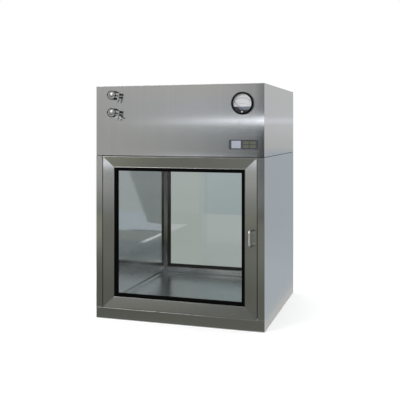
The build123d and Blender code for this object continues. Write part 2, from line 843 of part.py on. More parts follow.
lamp_y = front_y + lamp_setback
lamp_z = chamber_top - lamp_drop
holder_x = lamp_length / 2
with BuildPart() as lamp:
    with BuildSketch(Plane.YZ.offset(-lamp_length / 2)):
        with Locations((lamp_y, lamp_z)):
            Circle(lamp_radius)
    extrude(amount=lamp_length)
write("germicidal_lamp", lamp.part)

with BuildPart() as holder:
    with BuildSketch(Plane.XY.offset(chamber_top)):
        with Locations((holder_x + lamp_holder[0] / 2, lamp_y)):
            Rectangle(lamp_holder[0], lamp_holder[1])
    extrude(amount=-lamp_holder[2])
    fillet(holder.edges().group_by(Axis.Z)[0], bend_radius)
write("lamp_holders", holder.part, mirrored(holder.part))

with BuildPart() as enclosure:
    with BuildSketch(Plane.XY.offset(deck_top)):
        with Locations((enclosure_x, 0)):
            RectangleRounded(enclosure_size[0], enclosure_size[1], enclosure_radius)
    extrude(amount=enclosure_size[2])
    fillet(enclosure.edges().group_by(Axis.Z)[-1], enclosure_radius)
write("electrical_enclosure", enclosure.part)

# ---------------------------------------------------------------- pressure gauge
gauge_plane = turning_plane(gauge_x, gauge_z)
gauge_axis = forward_axis(gauge_x, gauge_z)
gauge_inner = gauge_radius - gauge_rim
dial_front = gauge_proud - dial_setback
dial_back = dial_front - dial_thickness
lens_front = gauge_proud - lens_setback
case_inner = gauge_inner + lens_lap

with BuildPart() as gauge_case:
    with BuildSketch(gauge_plane):
        with BuildLine():
            Polyline(
                (0, -gauge_case_depth),
                (gauge_hole_radius - gauge_fit, -gauge_case_depth),
                (gauge_hole_radius - gauge_fit, 0),
                (gauge_radius, 0),
                (gauge_radius, gauge_flange),
                (case_inner, gauge_flange),
                (case_inner, gauge_wall - gauge_case_depth),
                (0, gauge_wall - gauge_case_depth),
                close=True,
            )
        make_face()
    revolve(axis=gauge_axis)
    # The dial's seat and the cover of the movement fill the lower part up to the dial's chord
    with BuildSketch(behind_front(-dial_back)):
        with Locations((gauge_x, gauge_z)):
            Circle(case_inner)
    extrude(amount=-dial_back)
    with BuildSketch(behind_front(-dial_back)):
        with Locations((gauge_x, gauge_z)):
            Circle(gauge_inner)
        with Locations((gauge_x, gauge_z + gauge_inner - dial_chord)):
            Rectangle(2 * gauge_inner, 2 * gauge_inner, mode=Mode.SUBTRACT)
    extrude(amount=dial_thickness)
    with BuildSketch(behind_front(-dial_front)):
        with Locations((gauge_x, gauge_z - pivot_drop)):
            Circle(pointer_pin)
    extrude(amount=pointer_thickness + pointer_pin)
write("gauge_case", gauge_case.part)

with BuildPart() as gauge_bezel:
    with BuildSketch(gauge_plane):
        with BuildLine():
            Polyline(
                (gauge_inner, lens_front),
                (gauge_inner, gauge_proud),
                (gauge_radius - gauge_rim / 3, gauge_proud),
                (gauge_radius, gauge_proud - gauge_rim / 3),
                (gauge_radius, gauge_flange),
                (gauge_inner + lens_lap, gauge_flange),
                (gauge_inner + lens_lap, lens_front),
                close=True,
            )
        make_face()
    revolve(axis=gauge_axis)
write("gauge_bezel", gauge_bezel.part)

with BuildPart() as dial:
    with BuildSketch(behind_front(-dial_back)):
        with Locations((gauge_x, gauge_z)):
            Circle(gauge_inner)
        with Locations((gauge_x, gauge_z - gauge_inner - dial_chord)):
            Rectangle(2 * gauge_inner, 2 * gauge_inner, mode=Mode.SUBTRACT)
    extrude(amount=dial_thickness)
write("gauge_dial", dial.part)

with BuildPart() as lens:
    with BuildSketch(behind_front(lens_thickness - lens_front)):
        with Locations((gauge_x, gauge_z)):
            Circle(gauge_inner + lens_lap)
        with Locations((gauge_x, gauge_z - zero_screw_drop)):
            Circle(zero_screw_radius + zero_screw_clearance, mode=Mode.SUBTRACT)
    extrude(amount=lens_thickness)
write("gauge_lens", lens.part)

with BuildPart() as pointer:
    with BuildSketch(behind_front(-dial_front - pointer_pin / 2)):
        with Locations(Location((gauge_x, gauge_z - pivot_drop, 0), (0, 0, pointer_rest))):
            Circle(pointer_hub)
            with Locations((0, (pointer_length - pointer_tail) / 2)):
                Rectangle(pointer_width, pointer_length + pointer_tail)
            Circle(pointer_pin + pointer_clearance, mode=Mode.SUBTRACT)
    extrude(amount=pointer_thickness)
write("gauge_pointer", pointer.part)

with BuildPart() as zero_screw:
    with BuildSketch(behind_front(lens_thickness - lens_front)):
        with Locations((gauge_x, gauge_z - zero_screw_drop)):
            Circle(zero_screw_radius)
    extrude(amount=lens_thickness + lens_setback)
    with BuildSketch(behind_front(-gauge_proud)):
        with Locations((gauge_x, gauge_z - zero_screw_drop)):
            Rectangle(zero_screw_radius * 3, zero_screw_radius / 4)
    extrude(amount=-lens_setback / 2, mode=Mode.SUBTRACT)
write("gauge_zero_screw", zero_screw.part)

# ---------------------------------------------------------------- controller
screen_x = controller_x + screen_offset
key_floor = key_thickness - key_proud + key_gap
key_middle = controller_x + key_offset
with BuildPart() as controller:
    with BuildSketch(behind_front(0)):
        with Locations((controller_x, controller_z)):
            RectangleRounded(controller_width, controller_tall, controller_corner)
    extrude(amount=controller_proud)
    fillet(controller.edges().group_by(Axis.Y)[0], edge_radius)
    with BuildSketch(behind_front(0)):
        with Locations((controller_x, controller_z)):
            Rectangle(controller_box[0], controller_box[1])
    extrude(amount=-controller_box[2])
    with BuildSketch(behind_front(-controller_proud)):
        with Locations((screen_x, controller_z)):
            Rectangle(*screen_size)
    extrude(amount=-screen_recess - screen_thickness, mode=Mode.SUBTRACT)
    with BuildSketch(behind_front(-controller_proud)):
        with Locations((key_middle, controller_z)):
            with GridLocations(*key_pitch, *key_grid):
                Rectangle(key_size[0] + 2 * key_clearance, key_size[1] + 2 * key_clearance)
    extrude(amount=-key_floor, mode=Mode.SUBTRACT)
write("controller_body", controller.part)

with BuildPart() as screen:
    with BuildSketch(behind_front(screen_recess + screen_thickness - controller_proud)):
        with Locations((screen_x, controller_z)):
            Rectangle(*screen_size)
    extrude(amount=screen_thickness)
write("controller_screen", screen.part)

with BuildPart() as key:
    with BuildSketch(behind_front(key_thickness - key_proud - controller_proud)):
        with Locations((key_middle, controller_z)):
            RectangleRounded(*key_size, key_radius)
    extrude(amount=key_thickness)
    fillet(key.edges().group_by(Axis.Y)[0], key_proud / 2)
key_names = {
    "controller_key_top_left": (-1, 1),
    "controller_key_top_right": (1, 1),
    "controller_key_bottom_left": (-1, -1),
    "controller_key_bottom_right": (1, -1),
}
for key_name, (across, up) in key_names.items():
    write(key_name, key.part.moved(Location((across * key_pitch[0] / 2, 0, up * key_pitch[1] / 2))))

# ---------------------------------------------------------------- test ports
port_plane = turning_plane(port_x, upper_port_z)
port_axis = forward_axis(port_x, upper_port_z)
taper_run = (flange_radius - tube_radius) * taper_slope
cap_base = ferrule_length + port_gasket

with BuildPart() as ferrule:
    with BuildSketch(port_plane):
        with BuildLine():
            Polyline(
                (tube_bore, -tube_inside),
                (tube_radius, -tube_inside),
                (tube_radius, ferrule_length - flange_rim - taper_run),
                (flange_radius, ferrule_length - flange_rim),
                (flange_radius, ferrule_length),
                (tube_bore, ferrule_length),
                close=True,
            )
        make_face()
    revolve(axis=port_axis)
write("port_ferrules", ferrule.part, at_lower_port(ferrule.part))

with BuildPart() as port_seal:
    with BuildSketch(behind_front(-ferrule_length)):
        with Locations((port_x, upper_port_z)):
            Circle(flange_radius)
            Circle(tube_bore, mode=Mode.SUBTRACT)
    extrude(amount=port_gasket)
write("port_gaskets", port_seal.part, at_lower_port(port_seal.part))

with BuildPart() as cap:
    with BuildSketch(port_plane):
        with BuildLine():
            Polyline(
                (0, cap_base),
                (flange_radius, cap_base),
                (flange_radius, cap_base + flange_rim),
                (tube_radius, cap_base + flange_rim + taper_run),
                (0, cap_base + flange_rim + taper_run + cap_crown),
                close=True,
            )
        make_face()
    revolve(axis=port_axis)
write("port_caps", cap.part, at_lower_port(cap.part))

# Clamp frame: x out to the swing bolt, y along the bolt towards its eye, z forward
across = Vector(cos(radians(clamp_angle)), 0, sin(radians(clamp_angle)))
along = Vector(-sin(radians(clamp_angle)), 0, cos(radians(clamp_angle)))
clamp_origin = Vector(port_x, front_y - clamp_height, upper_port_z)
clamp_plane = Plane(origin=clamp_origin, x_dir=across, z_dir=(0, -1, 0))
clamp_section = Plane(origin=clamp_origin, x_dir=across, z_dir=across.cross(Vector(0, -1, 0)))
groove_rim = flange_rim + port_gasket / 2 + clamp_clearance
groove_mouth = groove_rim + (flange_radius - clamp_bore) * taper_slope
groove_radius = flange_radius + clamp_clearance
hinge_lug = hinge_offset - clamp_outer - hinge_gap
half_width = clamp_width / 2


def jaw_ring(side):
    """Half of the grooved clamp ring, on one side of its split."""
    with BuildPart() as ring:
        with BuildSketch(clamp_section):
            with BuildLine():
                Polyline(
                    (clamp_bore, groove_mouth),
                    (clamp_bore, half_width),
                    (clamp_outer, half_width),
                    (clamp_outer, -half_width),
                    (clamp_bore, -half_width),
                    (clamp_bore, -groove_mouth),
                    (groove_radius, -groove_rim),
                    (groove_radius, groove_rim),
                    close=True,
                )
            make_face()
        revolve(axis=port_axis)
        with BuildSketch(clamp_plane):
            with Locations((0, side * (split_gap / 2 - clamp_outer))):
                Rectangle(3 * clamp_outer, 2 * clamp_outer)
        extrude(amount=clamp_width, both=True, mode=Mode.SUBTRACT)
    return ring.part


lug_length = bolt_offset + lug_end - lug_inner
with BuildPart() as eye_jaw:
    add(jaw_ring(1))
    with BuildSketch(clamp_plane):
        with Locations((lug_inner + lug_length / 2, (lug_low + eye_height + eye_radius) / 2)):
            Rectangle(lug_length, eye_height + eye_radius - lug_low)
    extrude(amount=half_width, both=True)
    with BuildSketch(clamp_plane):
        with Locations((bolt_offset, eye_height)):
            Rectangle(2 * (eye_radius + lug_end), 4 * eye_radius)
    extrude(amount=eye_width / 2 + eye_slot, both=True, mode=Mode.SUBTRACT)
    with BuildSketch(clamp_plane):
        with Locations((bolt_offset, eye_height)):
            Circle(hinge_pin_radius)
    extrude(amount=half_width, both=True, mode=Mode.SUBTRACT)
    with BuildSketch(clamp_plane):
        with Locations((-hinge_offset, 0)):
            Circle(hinge_lug)
        with Locations((-hinge_offset + hinge_lug, hinge_lug / 2 + split_gap / 2)):
            Rectangle(2 * hinge_lug, hinge_lug)
        with Locations((-hinge_offset, 0)):
            Circle(hinge_pin_radius, mode=Mode.SUBTRACT)
    extrude(amount=hinge_tongue / 2, both=True)
write("clamp_eye_jaws", eye_jaw.part, at_lower_port(eye_jaw.part))

with BuildPart() as fork_jaw:
    add(jaw_ring(-1))
    with BuildSketch(clamp_plane):
        with Locations((lug_inner + lug_length / 2, -(lug_low + lug_high) / 2)):
            Rectangle(lug_length, lug_high - lug_low)
    extrude(amount=half_width, both=True)
    with BuildSketch(clamp_plane):
        with Locations((bolt_offset + lug_end / 2, -lug_high)):
            Rectangle(2 * bolt_radius + 2 * bolt_slot + lug_end, 2 * lug_high)
    extrude(amount=bolt_radius + bolt_slot, both=True, mode=Mode.SUBTRACT)
    for ear_side in (-1, 1):
        ear_inner = hinge_tongue / 2 + hinge_gap
        with BuildSketch(clamp_plane.offset(ear_side * ear_inner)):
            with Locations((-hinge_offset, 0)):
                Circle(hinge_lug)
            with Locations((-hinge_offset + hinge_lug, -hinge_lug / 2 - split_gap / 2)):
                Rectangle(2 * hinge_lug, hinge_lug)
            with Locations((-hinge_offset, 0)):
                Circle(hinge_pin_radius, mode=Mode.SUBTRACT)
        extrude(amount=ear_side * (half_width - ear_inner))
write("clamp_fork_jaws", fork_jaw.part, at_lower_port(fork_jaw.part))

clamp_pins = []
for pin_place in ((-hinge_offset, 0), (bolt_offset, eye_height)):
    with BuildPart() as clamp_pin:
        with BuildSketch(clamp_plane):
            with Locations(pin_place):
                Circle(hinge_pin_radius)
        extrude(amount=half_width, both=True)
    clamp_pins += [clamp_pin.part, at_lower_port(clamp_pin.part)]
write("clamp_pins", *clamp_pins)

bolt_plane = Plane(
    origin=clamp_origin + across * bolt_offset + along * eye_height, x_dir=across, z_dir=-along
)
with BuildPart() as bolt:
    with BuildSketch(bolt_plane):
        Circle(bolt_radius)
    extrude(amount=bolt_length)
    with BuildSketch(clamp_plane):
        with Locations((bolt_offset, eye_height)):
            Circle(eye_radius)
    extrude(amount=eye_width / 2, both=True)
    with BuildSketch(clamp_plane):
        with Locations((bolt_offset, eye_height)):
            Circle(hinge_pin_radius)
    extrude(amount=eye_width / 2, both=True, mode=Mode.SUBTRACT)
write("clamp_bolts", bolt.part, at_lower_port(bolt.part))

nut_plane = bolt_plane.offset(eye_height + lug_high + nut_gap)
wing_plane = Plane(origin=nut_plane.origin, x_dir=across, z_dir=across.cross(-along))
with BuildPart() as wing_nut:
    with BuildSketch(nut_plane):
        Circle(nut_radius)
    extrude(amount=nut_height, taper=nut_taper)
    with BuildSketch(wing_plane):
        with BuildLine():
            Polyline(
                (0, wing_rise / 4),
                (nut_radius, wing_rise / 4),
                (wing_radius - wing_thickness, wing_rise),
                (wing_radius, wing_rise + wing_thickness),
                (wing_radius, wing_height - wing_thickness),
                (wing_radius - wing_thickness, wing_height),
                (nut_radius * 1.4, nut_height * 0.9),
                (0, nut_height * 0.9),
                close=True,
            )
        make_face()
        mirror(about=Plane.YZ)
    extrude(amount=wing_thickness / 2, both=True)
    with BuildSketch(nut_plane):
        Circle(bolt_radius + nut_clearance)
    extrude(amount=wing_height, mode=Mode.SUBTRACT)
nut_axis = Axis(nut_plane.origin, -along)
write("upper_wing_nut", wing_nut.part.rotate(nut_axis, upper_nut_turn))
write("lower_wing_nut", at_lower_port(wing_nut.part))
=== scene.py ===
# %% [markdown]
# # A cleanroom pass box
# A pass box is a stainless cabinet set in or beside a cleanroom wall. Goods go in through one glass
# door and out through the other. The hood on top blows filtered air down through the chamber.
# The solids come ready made, in metres, so this lesson is about light, finishes and small detail.

# %% Load the cabinet
from math import radians

import bmesh
import bpy
from mathutils import Matrix, Vector


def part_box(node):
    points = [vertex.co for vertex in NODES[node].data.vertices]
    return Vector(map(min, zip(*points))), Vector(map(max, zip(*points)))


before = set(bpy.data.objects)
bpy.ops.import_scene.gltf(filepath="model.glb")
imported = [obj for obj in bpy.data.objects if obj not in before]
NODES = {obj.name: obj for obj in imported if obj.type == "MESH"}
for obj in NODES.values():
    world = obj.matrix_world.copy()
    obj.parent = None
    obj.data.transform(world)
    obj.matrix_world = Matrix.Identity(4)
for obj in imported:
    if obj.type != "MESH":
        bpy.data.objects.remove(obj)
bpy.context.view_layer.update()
print("pieces from the workshop:", len(NODES))

# %% [markdown]
# ## Colours
# Finishes are written as sRGB hex values, the way a paint card gives them, but the renderer works
# with linear light. One function turns the first into the second, and another makes a colour a
# little lighter or darker, as wear and grain do.

# %% Colour helpers
MM = 0.001


def srgb(hex_value):
    """Linear colour of an sRGB hex value such as "#8C8C8C"."""
    channels = [int(hex_value[i : i + 2], 16) / 255 for i in (1, 3, 5)]
    linear = [c / 12.92 if c <= 0.04045 else ((c + 0.055) / 1.055) ** 2.4 for c in channels]
    return (*linear, 1.0)


def toned(tint, factor):
    """A linear colour made lighter or darker."""
    return (*(min(c * factor, 1) for c in tint[:3]), 1.0)


print("mid grey in linear light:", round(srgb("#808080")[0], 3))

# %% [markdown]
# ## One way to add a node
# A material is a small network. One function adds a node with its settings and joins its inputs, so
# that each material below reads as a short recipe. Inputs are given in order or by name. A map range
# takes a value, where it comes from and where it goes to: when its last number is another mask, the
# two masks multiply, which draws most of the soft-edged areas below.

# %% Node helpers
def join(made, links):
    """Fills inputs with values, sockets or nodes. A node stands for its first open output."""
    if isinstance(links, dict):
        pairs = [(made.inputs[name], value) for name, value in links.items()]
    else:
        pairs = zip([socket for socket in made.inputs if socket.enabled], links)
    for socket, value in pairs:
        if isinstance(value, bpy.types.Node):
            value = next(output for output in value.outputs if output.enabled)
        if isinstance(value, bpy.types.NodeSocket):
            made.id_data.links.new(value, socket)
        else:
            socket.default_value = value


def node(tree, kind, links=(), stops=(), **settings):
    """Adds a node. stops are the (position, sRGB hex) pairs of a colour ramp."""
    made = tree.nodes.new("ShaderNode" + kind)
    for name, value in settings.items():
        setattr(made, name, value)
    if stops:
        made.color_ramp.interpolation = "EASE"
        elements = made.color_ramp.elements
        while len(elements) < len(stops):
            elements.new(1.0)
        for element, (position, colour) in zip(elements, stops):
            element.position = position
            element.color = srgb(colour)
    join(made, links)
    return made


def new_material(name):
    """An empty node material and its tree."""
    material = bpy.data.materials.new(name)
    material.use_nodes = True
    material.node_tree.nodes.clear()
    return material, material.node_tree


print("helpers:", [maker.__name__ for maker in (join, node, new_material)])

# %% [markdown]
# ## Where the viewer stands
# The box is seen from its right front, from chest height. The verticals stay upright, because the
# camera looks level and its frame is shifted down instead of tilted.

# %% Camera
CAMERA_PLACE = (1.2058, -3.9113, 1.0656)
CAMERA_TURN = 17.29
LENS_MM = 60.34
FRAME_SHIFT = -0.176

camera_data = bpy.data.cameras.new("viewer")
camera_data.sensor_width = 36
camera_data.lens = LENS_MM
camera_data.shift_y = FRAME_SHIFT
camera = bpy.data.objects.new("viewer", camera_data)
camera.location = CAMERA_PLACE
camera.rotation_euler = (radians(90), 0, radians(CAMERA_TURN))
scene = bpy.context.scene
scene.collection.objects.link(camera)
scene.camera = camera
scene.view_settings.view_transform = "Standard"
print("camera distance:", round((Vector(CAMERA_PLACE) - Vector((0, 0, 0.65))).length, 2), "m")

# %% [markdown]
# ## Floor
# A large pale sheet, as in a studio bay. It could be a curved backdrop, but one flat plane that
# fades to plain white a metre from the box does the same, and keeps the shadow at its foot.

# %% Floor
FLOOR_HALF = 12.0
FLOOR_GLOW = 0.26  # lifts the lit floor to the white of the backdrop
FADE_FROM, FADE_TO = 0.9, 1.9  # metres from the middle of the box

floor_mesh = bpy.data.meshes.new("floor")
floor_mesh.from_pydata(
    [(x, y, 0) for x, y in ((-1, -1), (1, -1), (1, 1), (-1, 1))], [], [(0, 1, 2, 3)]
)
floor_mesh.transform(Matrix.Scale(FLOOR_HALF, 4))
floor = bpy.data.objects.new("floor", floor_mesh)
scene.collection.objects.link(floor)

floor_finish, tree = new_material("pale_floor")
spot = node(tree, "TexCoord").outputs["Object"]
distance = node(tree, "VectorMath", {0: spot}, operation="LENGTH")
away = node(tree, "MapRange", (distance, FADE_FROM, FADE_TO), interpolation_type="SMOOTHSTEP")
paint = node(tree, "BsdfPrincipled", {"Base Color": srgb("#F0F0F0"), "Roughness": 0.9})
glow = node(tree, "Emission", {"Color": (1, 1, 1, 1), "Strength": FLOOR_GLOW})
white = node(tree, "Emission", {"Color": (1, 1, 1, 1), "Strength": 1.0})
seen = node(tree, "MixShader", (away, node(tree, "AddShader", (paint, glow)), white))
node(tree, "OutputMaterial", {"Surface": seen})
floor_mesh.materials.append(floor_finish)
print("floor:", 2 * FLOOR_HALF, "m wide")

# %% [markdown]
# ## World
# The air round the box is even and white. It could be a picture of a real room, but plain white keeps
# every tone in hand. It lights the box at less than full strength: only what is seen directly, in a
# mirror or through glass is white.

# %% World
WORLD_FILL = 0.62
world = bpy.data.worlds.new("studio")
scene.world = world
world.use_nodes = True
sky = world.node_tree
sky.nodes.clear()
path = node(sky, "LightPath").outputs
shown = node(sky, "Math", (path["Is Camera Ray"], path["Is Glossy Ray"]), operation="ADD")
shown = node(sky, "Math", (shown, path["Is Transmission Ray"]), operation="ADD", use_clamp=True)
strength = node(sky, "MapRange", (shown, 0.0, 1.0, WORLD_FILL, 1.0))
background = node(sky, "Background", {"Color": (1, 1, 1, 1), "Strength": strength})
node(sky, "OutputWorld", {"Surface": background})
print("fill from the world:", WORLD_FILL)

# %% [markdown]
# ## Lamps
# A studio would use softboxes, and square area lamps are the same thing. The key lamp stands at the
# left and draws the shadow to the right. The one above only softens it, so steel doesn't mirror it.

# %% Lamps
def soft_lamp(name, place, aim, size, power, mirrored=False):
    """A square lamp of a size in metres and a power in watts, aimed at a point."""
    data = bpy.data.lights.new(name, "AREA")
    data.shape = "RECTANGLE"
    data.size = data.size_y = size
    data.energy = power
    lamp = bpy.data.objects.new(name, data)
    lamp.location = place
    lamp.rotation_euler = (Vector(aim) - Vector(place)).to_track_quat("-Z", "Y").to_euler()
    lamp.visible_glossy = mirrored
    scene.collection.objects.link(lamp)


soft_lamp("key", (-2.2, -3.0, 3.4), (0, 0, 0.6), 2.4, 95, mirrored=True)
soft_lamp("top", (0.6, 0.4, 3.6), (0, 0, 0.4), 2.6, 60)

# %% [markdown]
# ## A room for the steel to reflect
# Stainless steel has hardly any colour of its own: it shows what stands around it. So it is lit by
# putting grey cards round it, until its faces separate. A studio would hang sheets of paper. Here
# the cards are one large box that only mirror rays and rays through glass can see.

# %% Card box
ROOM_LOW = Vector((-4.2, -4.6, 0.003))
ROOM_HIGH = Vector((4.2, 4.1, 3.8))


def show_in_mirrors_only(made):
    made.visible_camera = made.visible_diffuse = False
    made.visible_shadow = made.visible_volume_scatter = False


room_mesh = bpy.data.meshes.new("studio_cards")
shape = bmesh.new()
bmesh.ops.create_cube(shape, size=1)
shape.to_mesh(room_mesh)
shape.free()
room_mesh.transform(
    Matrix.Translation((ROOM_LOW + ROOM_HIGH) / 2) @ Matrix.Diagonal((*(ROOM_HIGH - ROOM_LOW), 1))
)
room = bpy.data.objects.new("studio_cards", room_mesh)
scene.collection.objects.link(room)
show_in_mirrors_only(room)

card_finish, tree = new_material("grey_cards")
x, y, z = node(tree, "SeparateXYZ", {0: node(tree, "TexCoord").outputs["Object"]}).outputs
print("cards span", [round(v, 2) for v in ROOM_HIGH - ROOM_LOW], "m")

# %% [markdown]
# ## The wall before the box
# Door frame and hood face this wall, so it decides their tones. It is dark below eye level, lighter
# above, and darker and cooler towards the right. Five upright columns of tones, blended into one
# another along the wall, give that without any picture.

# %% Wall of columns
WALL_HEIGHT = 1.9
# Where each column stands along the wall, and its tones from the floor up
COLUMNS = {
    -2.2: (
        (0.0, "#80817B"), (0.10, "#989994"), (0.22, "#B2B2AF"), (0.32, "#BABAB6"),
        (0.56, "#BCBCB9"), (0.73, "#BFBFBE"), (0.82, "#C5C5C3"),
    ),
    -1.2: (
        (0.0, "#7D7E78"), (0.10, "#989995"), (0.22, "#BDBDBB"), (0.40, "#A5A6A6"),
        (0.50, "#ACAFB0"), (0.56, "#B8BBBD"), (0.67, "#C3C6CB"), (0.82, "#CBCAC8"),
    ),
    -0.9: (
        (0.0, "#74756F"), (0.14, "#909393"), (0.40, "#959899"), (0.50, "#A3A6A8"),
        (0.56, "#B0B4B7"), (0.67, "#C8CBD1"), (0.82, "#D0CFCE"),
    ),
    -0.42: (
        (0.0, "#72736D"), (0.14, "#909393"), (0.40, "#6E7275"), (0.50, "#7F8486"),
        (0.56, "#8E9396"), (0.67, "#A0A3A6"), (0.82, "#AEAFAE"),
    ),
    -0.05: (
        (0.0, "#4E4F4B"), (0.14, "#565858"), (0.40, "#34373A"), (0.50, "#45484B"),
        (0.56, "#606467"), (0.67, "#7C8083"), (0.82, "#8C8E90"),
    ),
}
height = node(tree, "MapRange", (z, 0.0, WALL_HEIGHT))
places = list(COLUMNS)
front_wall = node(tree, "ValToRGB", (height,), COLUMNS[places[0]])
for low, high in zip(places, places[1:]):
    column = node(tree, "ValToRGB", (height,), COLUMNS[high])
    across = node(tree, "MapRange", (x, low, high))
    front_wall = node(tree, "Mix", (across, front_wall, column), data_type="RGBA")
print("columns in the wall:", len(places))

# %% [markdown]
# ## The bright strip
# One thin tube of light hangs before the box, brightest at its right end. Brushed steel draws it out
# into the soft band that crosses the hood. A short patch of light lower down is picked up only by
# the mitred corners of the door, whose faces are turned to it.

# %% Strip and patch
STRIP_HALF = 0.026
STRIP_LIGHT = 7.6
PATCH_LIGHT = 2.4
strip_height = node(tree, "MapRange", (x, -2.1, -0.5, 1.153, 1.170))
above = node(tree, "Math", (z, strip_height), operation="SUBTRACT")
lower = node(tree, "MapRange", (above, -STRIP_HALF, 0.0, 0.0, STRIP_LIGHT))
upper = node(tree, "MapRange", (above, STRIP_HALF, 0.0, 0.0, lower))
growth = node(tree, "Math", (node(tree, "MapRange", (x, -2.25, 0.1)), 2.0), operation="POWER")
strip = node(tree, "Math", (upper, growth), operation="MULTIPLY")

patch = PATCH_LIGHT
for value, outside, inside in (
    (x, -1.75, -1.35), (x, -0.95, -1.1), (z, 0.61, 0.66), (z, 0.74, 0.70),
):
    patch = node(tree, "MapRange", (value, outside, inside, 0.0, patch))
bright = node(tree, "Math", (strip, patch), operation="ADD")
print("strip:", 2 * STRIP_HALF, "m high")

# %% [markdown]
# ## The wall behind
# Both panes of glass let the wall behind show through the chamber, warm at the left and cool at the
# right. The chamber's polished wall mirrors its other half, which is a little lighter. The tones meet
# at a soft seam that runs on over the floor.

# %% Wall behind
SEAM_SLOPE = 0.3064  # the seam between warm and cool runs straight away from the viewer
seam = node(tree, "Math", (y, SEAM_SLOPE, x), operation="MULTIPLY_ADD")
cool = node(tree, "MapRange", (seam, -0.0523, 0.0677))
mirrored = node(tree, "MapRange", (x, 0.0, 0.2))
rear_wall = node(tree, "Mix", (cool, srgb("#A8AEAC"), srgb("#9DA8AA")), data_type="RGBA")
rear_wall = node(tree, "Mix", (mirrored, rear_wall, srgb("#B9BCBC")), data_type="RGBA")
depth = node(tree, "MapRange", (y, 1.0, 2.6))
cool_floor = node(tree, "Mix", (depth, srgb("#9EA5A3"), srgb("#ADB3B3")), data_type="RGBA")
rear_floor = node(tree, "Mix", (cool, srgb("#A6ACA9"), cool_floor), data_type="RGBA")
rear_floor = node(tree, "Mix", (mirrored, rear_floor, srgb("#929593")), data_type="RGBA")
print("tones behind the box: warm #A8AEAC, cool #9DA8AA")

# %% [markdown]
# ## The floor card
# The lower half of the door, the bottom rail and the plinth look down at the floor before the box, so
# its tones become theirs: light at the far left, dark under the middle and at the foot. Beside the
# cabinet it is pale, and the side panel and the edge of the plinth take their light from there.

# %% Floor card
FAR_TONES = (
    (0.0, "#969789"), (0.14, "#8A8B82"), (0.30, "#7A7B73"),
    (0.46, "#74756B"), (0.62, "#73746C"), (1.0, "#80817A"),
)
along = node(tree, "MapRange", (x, -1.75, -0.35))
far_floor = node(tree, "ValToRGB", (along,), FAR_TONES)
along = node(tree, "MapRange", (x, -0.9, 0.1))
foot_floor = node(tree, "Mix", (along, srgb("#666760"), srgb("#6D6E67")), data_type="RGBA")
reach = node(tree, "MapRange", (y, -1.2, -2.4))
front_floor = node(tree, "Mix", (reach, foot_floor, far_floor), data_type="RGBA")
back = node(tree, "MapRange", (y, -0.6, 0.3), interpolation_type="SMOOTHSTEP")
floor_card = node(tree, "Mix", (back, front_floor, rear_floor), data_type="RGBA")
# The pale strip beside the cabinet is lightest next to the plinth
right_side = node(tree, "MapRange", (x, 0.40, 0.47))
right_side = node(tree, "MapRange", (y, -0.47, -0.45, 0.0, right_side))
floor_card = node(tree, "Mix", (right_side, floor_card, srgb("#BBC2C8")), data_type="RGBA")
by_plinth = node(tree, "MapRange", (x, 0.5300, 0.5290, 0.0, right_side))
floor_card = node(tree, "Mix", (by_plinth, floor_card, srgb("#CFCFCE")), data_type="RGBA")
print("tones along the floor before the box:", len(FAR_TONES))

# %% [markdown]
# ## Hang the cards
# The box has one material, so each face finds its own tone by where it lies: the front wall near one
# end, the wall behind near the other, the floor at the bottom, and one pale grey everywhere else.

# %% Join the faces
FRONT_EDGE = (y, ROOM_LOW.y + 0.05, ROOM_LOW.y + 0.01)
REAR_EDGE = (y, ROOM_HIGH.y - 0.05, ROOM_HIGH.y - 0.01)
FLOOR_EDGE = (z, 0.02, 0.01)
colour = srgb("#CBCDCE")
for edge, face in ((FRONT_EDGE, front_wall), (REAR_EDGE, rear_wall), (FLOOR_EDGE, floor_card)):
    here = node(tree, "MapRange", edge)
    colour = node(tree, "Mix", (here, colour, face), data_type="RGBA")
card = node(tree, "Emission", {"Color": colour, "Strength": 1.0})
glare = node(tree, "MapRange", (*FRONT_EDGE, 0.0, bright))
tube = node(tree, "Emission", {"Color": srgb("#F4F7FF"), "Strength": glare})
node(tree, "OutputMaterial", {"Surface": node(tree, "AddShader", (card, tube))})
room_mesh.materials.append(card_finish)
print("nodes in the cards:", len(tree.nodes))

# %% [markdown]
# ## Standing cards
# Two flat cards stand behind the box. The right side of the cabinet mirrors the large one, and the
# polished wall of the chamber mirrors the dark screen. They could be drawn on the card box, but a
# mirror shows how far away things are, and loose cards get that right.

# %% Cards behind the box
def loose_card(name, corners, stops, along="Z", low=0.0, high=1.0):
    """A flat card that only mirror and glass rays see, shaded along one axis."""
    mesh = bpy.data.meshes.new(name)
    mesh.from_pydata(corners, [], [tuple(range(len(corners)))])
    made = bpy.data.objects.new(name, mesh)
    scene.collection.objects.link(made)
    show_in_mirrors_only(made)
    material, tree = new_material(name)
    place = node(tree, "SeparateXYZ", {0: node(tree, "TexCoord").outputs["Object"]})
    shade = node(tree, "MapRange", (place.outputs[along], low, high))
    emission = node(tree, "Emission", {"Color": node(tree, "ValToRGB", (shade,), stops), "Strength": 1.0})
    node(tree, "OutputMaterial", {"Surface": emission})
    mesh.materials.append(material)


def on_floor(x_low, x_high, y_low, y_high, z=0.006):
    return [(x_low, y_low, z), (x_high, y_low, z), (x_high, y_high, z), (x_low, y_high, z)]


SIDE_TONES = (
    (0.0, "#B9C0C6"), (0.20, "#B4BBC1"), (0.58, "#B5BCC2"), (0.62, "#C6C7C6"),
    (0.73, "#D0D1D3"), (0.757, "#E2E3EA"), (0.79, "#CFD0D2"), (1.0, "#D0D1D0"),
)
side_corners = [(0.56, 1.5, 0.0), (4.2, 1.5, 0.0), (4.2, 1.5, 3.8), (0.56, 1.5, 3.8)]
loose_card("side_card", side_corners, SIDE_TONES, high=1.5)
screen_corners = [(0.32, 2.4, 0.11), (0.53, 2.4, 0.132), (0.78, 2.4, 0.76), (0.32, 2.4, 0.76)]
loose_card("dark_screen", screen_corners, ((0.0, "#8F9493"), (1.0, "#939796")))

